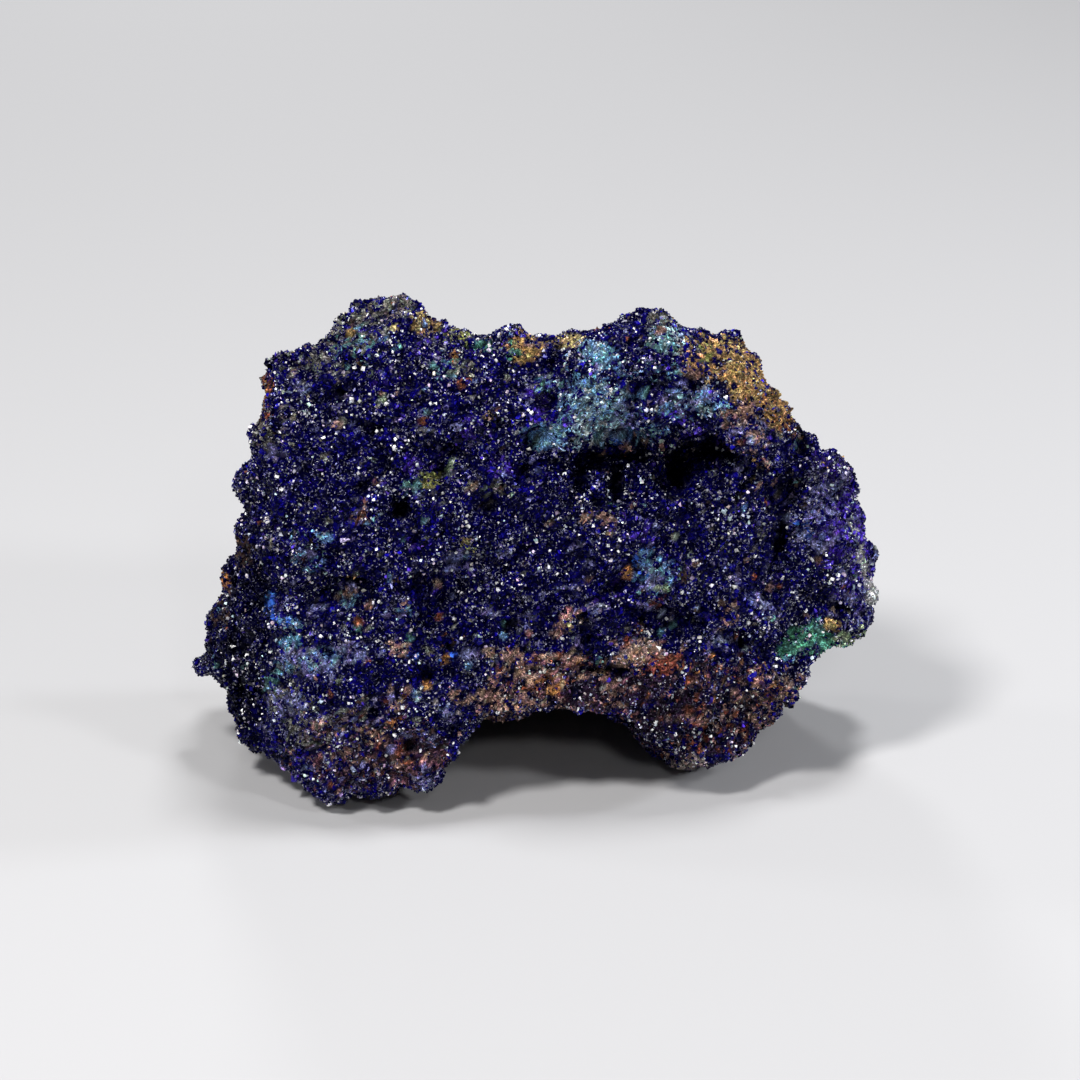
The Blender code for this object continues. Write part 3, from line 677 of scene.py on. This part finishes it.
def colours_of(kind, rng):
    """A slightly different colour for each grain of each mineral."""
    base = np.array([MINERALS[name][0] for name in NAMES])[kind]
    spread = np.array([MINERALS[name][1] for name in NAMES])[kind]
    light = np.exp(rng.normal(0.0, 1.0, len(kind)) * spread)
    tint = 1.0 + rng.normal(0.0, 0.10, (len(kind), 3))
    return np.clip(base * light[:, None] * tint, DARKEST, PALEST)


# ---- the rock ----

def relief(points, forms):
    """The sum of the forms' heights at each point, in metres."""
    x, y = in_frame(points)
    ragged = ragged_edge(points)
    total = np.zeros(len(points))
    for cx, cy, wide, high, height, *turn in forms:
        gap = ellipse(x, y, cx, cy, wide * 1.15, high * 1.15, *turn)
        fade = np.clip(1.25 - gap + 0.6 * (ragged - 0.5), 0.0, 1.0)
        total += height * MM * fade * fade * (3.0 - 2.0 * fade)
    return total


def press(points, normals):
    """How far each point moves away from the camera into the hollows, in metres."""
    facing = np.clip((normals @ TO_CAMERA + 0.1) * 2.5, 0.0, 1.0)
    return -relief(points, HOLLOWS) * facing


def build_rock(material):
    """The CAD solid, remeshed finely, with its knobs of growth and its hollows."""
    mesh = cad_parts[NODE].data.copy()
    bm = bmesh.new()
    bm.from_mesh(mesh)
    bmesh.ops.remove_doubles(bm, verts=bm.verts, dist=1e-6)
    bm.to_mesh(mesh)
    bm.free()
    rock = add_piece("rock", mesh, material)
    remesh = rock.modifiers.new("Remesh", "REMESH")
    remesh.mode = "VOXEL"
    remesh.voxel_size = ROCK_VOXEL
    smooth = rock.modifiers.new("Smooth", "SMOOTH")
    smooth.factor = 0.5
    smooth.iterations = ROCK_SMOOTHINGS
    settle(rock)
    mesh = rock.data
    points, normals = read_mesh(mesh)
    swell = relief(points, EDGES) - SINK
    for apart, height, seed in KNOBS:
        near, _, number = knobs_near(points, apart * MM, seed)
        dome = np.clip(1.0 - (near / KNOB_RADIUS) ** 2, 0.0, 1.0)
        swell += height * MM * (dome * (0.75 + 0.5 * number) - 0.62)
    free = np.clip(points[:, 2] / FLAT_BELOW, 0.0, 1.0)
    points += normals * (swell * free)[:, None]
    points -= TO_CAMERA * (press(points, normals) * free)[:, None]
    points[:, 2] = np.maximum(points[:, 2], 0.0)
    mesh.vertices.foreach_set("co", points.ravel())
    mesh.update()
    return rock


def openness(rock, points, normals):
    """From 0 deep in a gap to 1 on an open knob, for each of the rock's points."""
    tree = BVHTree.FromObject(rock, bpy.context.evaluated_depsgraph_get())
    rng = np.random.default_rng(SEED + 5)
    rays = OPEN_RAYS
    clear = np.zeros(len(points))
    for _ in range(rays):
        away = normals + rng.normal(0.0, 0.6, normals.shape)
        away /= np.linalg.norm(away, axis=1)[:, None]
        starts = points + normals * 0.12 * MM
        for index, (start, way) in enumerate(zip(starts.tolist(), away.tolist())):
            hit = tree.ray_cast(start, way, OPEN_REACH)[3]
            clear[index] += 1.0 if hit is None else 0.7 * hit / OPEN_REACH
    return clear / rays


def shade(points, clear):
    """Painted shade: how much of a colour is left in the gaps, the cracks and the dark hollows, where
    shade falls.
    """
    x, y = in_frame(points)
    ragged = ragged_edge(points)
    left = crack_shade(points) * (0.08 + 0.92 * np.clip((clear - 0.32) / 0.52, 0.0, 1.0))
    for cx, cy, wide, high, lost, *turn in PAINTED_SHADE:
        gap = ellipse(x, y, cx, cy, wide, high, *turn)
        fade = np.clip(1.3 * (1.15 - gap + 0.6 * (ragged - 0.5)), 0.0, 1.0)
        left *= 1.0 - lost * fade * (points[:, 1] < 8.0 * MM)
    return left


def add_lit(mesh, lit):
    """Keep how much light is left at each corner, for the materials."""
    layer = mesh.attributes.new("lit", "FLOAT", "POINT")
    layer.data.foreach_set("value", lit.astype(np.float32))


def paint_rock(rock, points, normals, clear):
    """The rock's own colour, earthy where it lies bare, with painted shade that makes it dark in the
    gaps of the druse.
    """
    rng = np.random.default_rng(SEED + 1)
    kind = minerals_at(points, normals, rng.random(len(points)))
    glassy = is_glassy(kind)
    colour = colours_of(kind, rng)
    lit = shade(points, clear)
    # Painted shade: the colour is darkened in the gaps, the cracks and the dark hollows, and the ground
    # is dimmed overall, the glassy ground more.
    colour *= (np.where(glassy, 0.6, 0.75) * lit)[:, None]
    rgba = np.concatenate([colour, glassy[:, None].astype(float)], axis=1)
    layer = rock.data.color_attributes.new("mineral", "FLOAT_COLOR", "POINT")
    layer.data.foreach_set("color", rgba.astype(np.float32).ravel())
    add_lit(rock.data, lit)


# ---- crystals and grains ----

# A wedge tip, open below, where it sits in the rock.
WEDGE = (
    np.array([
        (-0.5, -0.36, -0.5), (0.5, -0.36, -0.5), (0.5, 0.36, -0.5), (-0.5, 0.36, -0.5),
        (-0.24, 0.0, 0.5), (0.24, 0.0, 0.5),
    ]),
    np.array([(0, 1, 5), (0, 5, 4), (2, 3, 4), (2, 4, 5), (1, 2, 5), (3, 0, 4)]),
)
# A three-sided tip, longer than it is wide, open below.
TIP = (
    np.array([(-0.5, -0.20, -0.5), (0.5, -0.24, -0.5), (0.1, 0.28, -0.5), (0.0, 0.0, 0.5)]),
    np.array([(0, 1, 3), (1, 2, 3), (2, 0, 3)]),
)
# A block with a sloping top, open below.
BLOCK = (
    np.array([
        (-0.5, -0.42, -0.5), (0.5, -0.42, -0.5), (0.5, 0.42, -0.5), (-0.5, 0.42, -0.5),
        (-0.40, -0.32, 0.30), (0.36, -0.34, 0.42), (0.30, 0.26, 0.50), (-0.34, 0.30, 0.44),
    ]),
    np.array([
        (0, 1, 5), (0, 5, 4), (1, 2, 6), (1, 6, 5), (2, 3, 7), (2, 7, 6), (3, 0, 4), (3, 4, 7),
        (4, 5, 6), (4, 6, 7),
    ]),
)


def standing(sites, out, size, shape, rng, ragged):
    """Copies of a shape, each standing along its own direction: (count, points, 3)."""
    side = np.cross(out, rng.normal(0.0, 1.0, out.shape))
    side /= np.linalg.norm(side, axis=1)[:, None]
    across = np.cross(out, side)
    local = shape[None] + rng.normal(0.0, ragged, (len(sites),) + shape.shape)
    local = local * size[:, None, :]
    return (
        sites[:, None, :]
        + local[..., 0:1] * side[:, None, :]
        + local[..., 1:2] * across[:, None, :]
        + local[..., 2:3] * out[:, None, :]
    )


def scatter_mesh(name, solid, shape, faces, colours, lit):
    """One mesh of many small bodies, with a colour and a square of the bake map for each."""
    count, corners = solid.shape[:2]
    solid[..., 2] = np.maximum(solid[..., 2], LOWEST)
    all_faces = (faces[None] + (np.arange(count) * corners)[:, None, None]).reshape(-1, 3)
    mesh = bpy.data.meshes.new(name)
    mesh.from_pydata(solid.reshape(-1, 3).tolist(), [], all_faces.tolist())
    rgba = np.ones((count, corners, 4))
    rgba[..., :3] = colours[:, None, :]
    layer = mesh.color_attributes.new("mineral", "FLOAT_COLOR", "POINT")
    layer.data.foreach_set("color", rgba.astype(np.float32).ravel())
    add_lit(mesh, np.repeat(lit, corners))
    flat = shape[:, :2] * (1.0 - 0.35 * shape[:, 2:3])
    flat = (flat - flat.min(axis=0)) / (flat.max(axis=0) - flat.min(axis=0))
    rows = math.ceil(math.sqrt(count))
    cell = np.stack([np.arange(count) % rows, np.arange(count) // rows], axis=1)
    uv = (cell[:, None, :] + 0.12 + 0.76 * flat[None]) / rows
    uv_layer = mesh.uv_layers.new(name="OFBake")
    corner_uv = uv.reshape(-1, 2)[all_faces.ravel()]
    uv_layer.data.foreach_set("uv", corner_uv.astype(np.float32).ravel())
    return mesh


def tilted(normals, lean, rng):
    """The normals, each leaning its own way."""
    out = normals + rng.normal(0.0, 1.0, normals.shape) * lean
    return out / np.linalg.norm(out, axis=1)[:, None]


def sites_on(points, normals, clear, rng):
    """Places for bodies, closer together on the front, the top and the sides than at the back."""
    usable = np.flatnonzero((points[:, 2] > 0.25 * MM) & (normals[:, 2] > -0.93))
    twice = usable[rng.random(len(usable)) < np.where(normals[usable, 1] < 0.35, 0.85, 0.15)]
    index = rng.permutation(np.concatenate([usable, twice]))
    normal = normals[index]
    stray = rng.normal(0.0, STRAY, (len(index), 3))
    stray -= normal * (stray * normal).sum(axis=1)[:, None]
    return points[index] + stray, normal, clear[index]


class Druse:
    """The crystals and grains on the rock, with what is known of each place for one."""

    def __init__(self, points, normals, clear):
        self.rng = np.random.default_rng(SEED)
        self.at, self.normal, clear = sites_on(points, normals, clear, self.rng)
        count = len(self.at)
        self.kind = minerals_at(self.at, self.normal, self.rng.random(count))
        strays = ~is_glassy(self.kind) & (self.rng.random(count) < BLUE_AMONG_EARTH)
        self.kind[strays] = NAMES.index("azurite")
        self.glassy = is_glassy(self.kind)
        # How much of each colour is kept under the painted shade at each place.
        self.lit = shade(self.at, clear)
        self.pieces = []

    def colours(self, kind, chosen):
        # Each colour carries painted shade from the gaps, the cracks and the dark hollows.
        return colours_of(kind, self.rng) * self.lit[chosen][:, None]

    def widths(self, body, chosen):
        return self.rng.lognormal(math.log(BODIES[body][0]), BODIES[body][1], len(chosen))

    def place(self, body, chosen, wide):
        """(places, directions, sizes) for bodies of these widths in millimetres."""
        _, _, tall, lean, _, off = BODIES[body]
        normal = self.normal[chosen]
        at = self.at[chosen] + normal * off * MM
        deep = wide * self.rng.uniform(0.7, 1.1, len(wide))
        size = np.stack([wide, deep, wide * tall], axis=1) * MM
        return at - normal * ROOT, tilted(normal, lean, self.rng), size

    def sow(self, label, model, body, chosen, placed, colours, material, pick=slice(None)):
        """Bodies of one shape, split from left to right into pieces that stay small enough."""
        shape, faces = model
        at, out, size = (part[pick] for part in placed)
        colours, lit = colours[pick], self.lit[chosen[pick]]
        solid = standing(at, out, size, shape, self.rng, BODIES[body][4])
        parts = math.ceil(len(at) * len(faces) / PIECE_TRIANGLES)
        for part, some in enumerate(np.array_split(np.argsort(at[:, 0]), parts)):
            name = f"{label}_{part + 1}"
            mesh = scatter_mesh(name, solid[some], shape, faces, colours[some], lit[some])
            self.pieces.append(add_piece(name, mesh, material))

    def grow_crystals(self, material):
        """The azurite: wedges, and blocks among them."""
        chosen = np.flatnonzero(self.glassy)[:CRYSTALS]
        colours = self.colours(self.kind[chosen], chosen)
        wide = self.widths("crystal", chosen)
        wide *= np.where(self.rng.random(len(chosen)) < BIG_CRYSTAL_SHARE, 1.6, 1.0)
        placed = self.place("crystal", chosen, wide)
        block = self.rng.random(len(chosen)) < BLOCK_SHARE
        self.sow("wedge_crystals", WEDGE, "crystal", chosen, placed, colours, material, ~block)
        self.sow("block_crystals", BLOCK, "crystal", chosen, placed, colours, material, block)

    def grow_grains(self, material):
        chosen = np.flatnonzero(~self.glassy)[:GRAINS]
        colours = self.colours(self.kind[chosen], chosen)
        placed = self.place("grain", chosen, self.widths("grain", chosen))
        self.sow("mineral_grains", WEDGE, "grain", chosen, placed, colours, material)

    def find_busy(self):
        """Where the druse glitters: in clouds, with a little of it everywhere."""
        clouds = np.clip(4.0 * layered_noise(self.at, 3.2 * MM, 171) - 1.45, 0.12, 1.0)
        return self.rng.random(len(self.at)) < clouds

    def grow_flecks(self, busy, hard_material, soft_material):
        """Thin tips among the crystals and grains, painted paler than what they stand on: painted
        highlights where tiny faces catch the light.
        """
        open_sites = np.flatnonzero(busy & (self.lit > 0.25) & (self.normal[:, 1] < 0.8))
        chosen = self.rng.permutation(open_sites)[:FLECKS]
        hard = self.glassy[chosen]
        tone = np.where(hard, NAMES.index("fleck"), self.kind[chosen])
        colours = self.colours(tone, chosen) * np.where(hard, 1.0, 1.25)[:, None]
        colours = np.minimum(colours, PALEST)
        placed = self.place("fleck", chosen, self.widths("fleck", chosen))
        self.sow("small_flecks", TIP, "fleck", chosen, placed, colours, hard_material, hard)
        self.sow("soft_flecks", TIP, "fleck", chosen, placed, colours, soft_material, ~hard)

    def grow_glints(self, busy, material):
        """Painted glints: a few crystals coloured near white, so that they shine white."""
        usable = self.glassy & busy & (self.lit > 0.20) & (self.normal[:, 1] < 0.6)
        chosen = self.rng.permutation(np.flatnonzero(usable))[:GLINTS]
        colours = colours_of(np.full(len(chosen), NAMES.index("glint")), self.rng)
        wide = self.widths("glint", chosen) + 0.20 * (self.rng.random(len(chosen)) < 0.08)
        placed = self.place("glint", chosen, np.minimum(wide, WIDEST_GLINT))
        self.sow("painted_glint_crystals", BLOCK, "glint", chosen, placed, colours, material)


def grow(points, normals, clear, glassy_material, earthy_material):
    """All the pieces that grow on the rock."""
    druse = Druse(points, normals, clear)
    druse.grow_crystals(glassy_material)
    druse.grow_grains(earthy_material)
    busy = druse.find_busy()
    druse.grow_flecks(busy, glassy_material, earthy_material)
    druse.grow_glints(busy, glassy_material)
    return druse.pieces


# ---- materials ----

class Nodes:
    """A few words for wiring a material."""

    def __init__(self, name):
        self.material = bpy.data.materials.new(name)
        self.material.use_nodes = True
        self.tree = self.material.node_tree
        self.shader = self.tree.nodes["Principled BSDF"]
        self.place = self.add("ShaderNodeTexCoord").outputs["Object"]

    def add(self, kind, **settings):
        node = self.tree.nodes.new(kind)
        for key, value in settings.items():
            setattr(node, key, value)
        return node

    def feed(self, into, value):
        """Link an input to another node's output, or set it to a constant."""
        if isinstance(value, bpy.types.NodeSocket):
            self.tree.links.new(value, into)
        else:
            into.default_value = value

    def set(self, name, value):
        self.feed(self.shader.inputs[name], value)

    def math(self, operation, one, other=0.0):
        node = self.add("ShaderNodeMath", operation=operation)
        self.feed(node.inputs[0], one)
        self.feed(node.inputs[1], other)
        return node.outputs["Value"]

    def multiplied(self, one, other):
        return self.math("MULTIPLY", one, other)

    def vector(self, operation, one, other=(0.0, 0.0, 0.0)):
        node = self.add("ShaderNodeVectorMath", operation=operation)
        self.feed(node.inputs[0], one)
        self.feed(node.inputs[1], other)
        return node.outputs["Vector"]

    def scaled(self, vector, factor):
        node = self.add("ShaderNodeVectorMath", operation="SCALE")
        self.feed(node.inputs[0], vector)
        self.feed(node.inputs["Scale"], factor)
        return node.outputs["Vector"]

    def noise(self, scale, detail=3.0, roughness=0.6):
        node = self.add("ShaderNodeTexNoise")
        for name, value in (("Scale", scale), ("Detail", detail), ("Roughness", roughness)):
            node.inputs[name].default_value = value
        self.feed(node.inputs["Vector"], self.place)
        return node.outputs["Fac"]

    def cells(self, scale):
        node = self.add("ShaderNodeTexVoronoi", feature="F1")
        node.inputs["Scale"].default_value = scale
        self.feed(node.inputs["Vector"], self.place)
        return node

    def mapped(self, value, low, high, start=0.3, end=0.7):
        """Low at the start and high at the end."""
        node = self.add("ShaderNodeMapRange")
        for into, number in zip(node.inputs[:5], (value, start, end, low, high)):
            self.feed(into, number)
        return node.outputs["Result"]

    def attribute(self, name):
        return self.add("ShaderNodeAttribute", attribute_name=name)

    def blended(self, colour, to, share):
        node = self.add("ShaderNodeMix", data_type="RGBA")
        self.feed(node.inputs["Factor"], share)
        self.feed(node.inputs[6], colour)
        self.feed(node.inputs[7], to)
        return node.outputs[2]

    def curls(self, scale, thin, thick):
        """1 along fine curling lines."""
        off = self.math("SUBTRACT", self.noise(scale, 1.0, 0.5), 0.5)
        return self.mapped(self.math("ABSOLUTE", off), 1.0, 0.0, thin, thick)

    def earth(self, colour):
        """An earthy colour, pitted, with painted shade in the dips and painted highlights along the rim
        of each crust.
        """
        pit_shade = self.mapped(self.noise(3000.0, 3.0, 0.7), 0.6, 1.4, 0.38, 0.6)
        rim_highlight = self.mapped(self.curls(1900.0, 0.012, 0.042), 0.50, 2.1, 0.0, 1.0)
        return self.scaled(colour, self.multiplied(pit_shade, rim_highlight))

    def edges(self):
        """Painted highlights: 1 along short curls and on small spots, where the edges of tiny crystals
        catch light.
        """
        breaks = self.mapped(self.noise(1900.0, 1.0), 0.0, 1.0, 0.52, 0.58)
        lines = self.multiplied(self.curls(1500.0, 0.006, 0.020), breaks)
        cells = self.cells(2500.0)
        split = self.add("ShaderNodeSeparateColor")
        self.feed(split.inputs["Color"], cells.outputs["Color"])
        spots = self.multiplied(
            self.mapped(cells.outputs["Distance"], 1.0, 0.0, 0.22, 0.32),
            self.mapped(split.outputs["Red"], 0.0, 1.0, 0.68, 0.92),
        )
        clouds = self.mapped(self.noise(300.0, 2.0), 0.12, 1.0, 0.44, 0.58)
        return self.multiplied(self.math("MAXIMUM", lines, spots), clouds)

    def facets(self, scale, turn):
        """Tiny flat faces, each turned its own way."""
        off = self.vector("SUBTRACT", self.cells(scale).outputs["Color"], (0.5, 0.5, 0.5))
        normal = self.add("ShaderNodeNewGeometry").outputs["Normal"]
        total = self.vector("ADD", self.scaled(off, turn), normal)
        self.set("Normal", self.vector("NORMALIZE", total))

    def bump(self, height, strength, distance):
        node = self.add("ShaderNodeBump")
        node.inputs["Strength"].default_value = strength
        node.inputs["Distance"].default_value = distance
        self.feed(node.inputs["Height"], height)
        self.set("Normal", node.outputs["Normal"])


def glassy_material():
    """Dark blue crystal: its own colour with cloudy depth, with painted highlights at its edges that
    fade with the painted shade, on small flat faces.
    """
    n = Nodes("azurite_crystal")
    cloud = n.multiplied(
        n.mapped(n.noise(2200.0, 2.0), 0.5, 1.5),
        n.mapped(n.noise(380.0, 2.0), 0.5, 1.6, 0.38, 0.62),
    )
    mineral = n.attribute("mineral")
    colour = n.scaled(mineral.outputs["Color"], cloud)
    # Painted highlights on the edges, less where the painted shade is deep.
    pale = n.multiplied(n.edges(), n.attribute("lit").outputs["Fac"])
    n.set("Base Color", n.blended(colour, PAINTED_HIGHLIGHT, pale))
    n.set("Roughness", n.mapped(n.noise(700.0, 2.0), 0.07, 0.24))
    n.set("IOR", 1.5)
    n.set("Specular IOR Level", 0.16)
    n.set("Specular Tint", (0.42, 0.44, 1.0, 1.0))
    n.facets(2400.0, 0.12)
    return n.material


def earthy_material():
    """Powdery and earthy grains: dull, uneven and pitted."""
    n = Nodes("mineral_grain")
    n.set("Base Color", n.earth(n.attribute("mineral").outputs["Color"]))
    n.set("Roughness", 0.75)
    n.set("Specular IOR Level", 0.3)
    n.bump(n.noise(3000.0, 3.0, 0.7), 0.7, 0.15 * MM)
    return n.material


def rock_material():
    """The ground of the druse: small crystal faces, duller where it is earthy."""
    n = Nodes("druse_ground")
    mineral = n.attribute("mineral")
    earthy = n.earth(mineral.outputs["Color"])
    glassy = mineral.outputs["Alpha"]
    # Painted highlights on the edges of the glassy ground, less where the painted shade is deep.
    pale = n.multiplied(n.multiplied(n.edges(), n.attribute("lit").outputs["Fac"]), glassy)
    n.set("Base Color", n.blended(earthy, PAINTED_HIGHLIGHT, pale))
    n.set("Roughness", n.mapped(glassy, 0.8, 0.28, 0.0, 1.0))
    n.set("Specular IOR Level", 0.06)
    n.set("Specular Tint", (0.50, 0.52, 1.0, 1.0))
    n.facets(2600.0, 0.5)
    return n.material


def floor_material():
    n = Nodes("pale_floor")
    n.set("Base Color", (0.52, 0.52, 0.53, 1.0))
    n.set("Roughness", 0.9)
    n.set("Specular IOR Level", 0.1)
    return n.material


# ---- setting ----

def add_floor():
    mesh = bpy.data.meshes.new("floor")
    corners = [(FLOOR_HALF * x, FLOOR_HALF * y, 0.0) for x, y in ((-1, -1), (1, -1), (1, 1), (-1, 1))]
    mesh.from_pydata(corners, [], [(0, 1, 2, 3)])
    floor = add_piece("floor", mesh, floor_material())


def add_light(name, place, size, power, colour=(1.0, 1.0, 1.0)):
    light = bpy.data.lights.new(name, "AREA")
    light.shape = "DISK"
    light.size = size
    light.energy = power
    light.color = colour
    lamp = bpy.data.objects.new(name, light)
    bpy.context.scene.collection.objects.link(lamp)
    lamp.location = place
    lamp.rotation_euler = (LIGHTS_AIM - Vector(place)).to_track_quat("-Z", "Y").to_euler()


def set_light():
    add_light("key", (-0.20, -0.30, 0.50), 0.11, 2.7, (1.0, 0.98, 0.96))
    add_light("top", (0.08, 0.04, 0.60), 0.12, 1.7)
    add_light("right", (0.36, -0.34, 0.38), 0.08, 0.8)
    add_light("front", (0.10, -0.60, 0.40), 0.07, 0.45)
    add_light("rim", (0.50, 0.06, 0.20), 0.08, 1.3, (0.93, 0.95, 1.0))
    add_light("left_rim", (-0.48, 0.12, 0.24), 0.08, 0.4)
    add_light("back", (-0.10, 0.58, 0.30), 0.12, 1.1)
    world = bpy.data.worlds.new("studio")
    bpy.context.scene.world = world
    world.use_nodes = True
    background = world.node_tree.nodes["Background"]
    background.inputs["Color"].default_value = (0.92, 0.94, 1.0, 1.0)
    background.inputs["Strength"].default_value = 0.08


def set_camera():
    camera = bpy.data.cameras.new("camera")
    camera.lens = LENS
    camera.sensor_width = SENSOR
    camera.shift_x = SHIFT_X
    camera.shift_y = SHIFT_Y
    camera.clip_start = 0.01
    holder = bpy.data.objects.new("camera", camera)
    bpy.context.scene.collection.objects.link(holder)
    out = Vector(TO_CAMERA)
    holder.location = TARGET + out * DISTANCE
    holder.rotation_euler = (-out).to_track_quat("-Z", "Y").to_euler()
    bpy.context.scene.camera = holder


def main():
    rock = build_rock(rock_material())
    points, normals = read_mesh(rock.data)
    clear = openness(rock, points, normals)
    paint_rock(rock, points, normals, clear)
    pieces = [rock] + grow(points, normals, clear, glassy_material(), earthy_material())
    for piece in pieces:
        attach(piece, "root")
    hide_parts(NODE)
    add_floor()
    set_light()
    set_camera()
    bpy.context.scene.view_settings.view_transform = "Standard"


main()
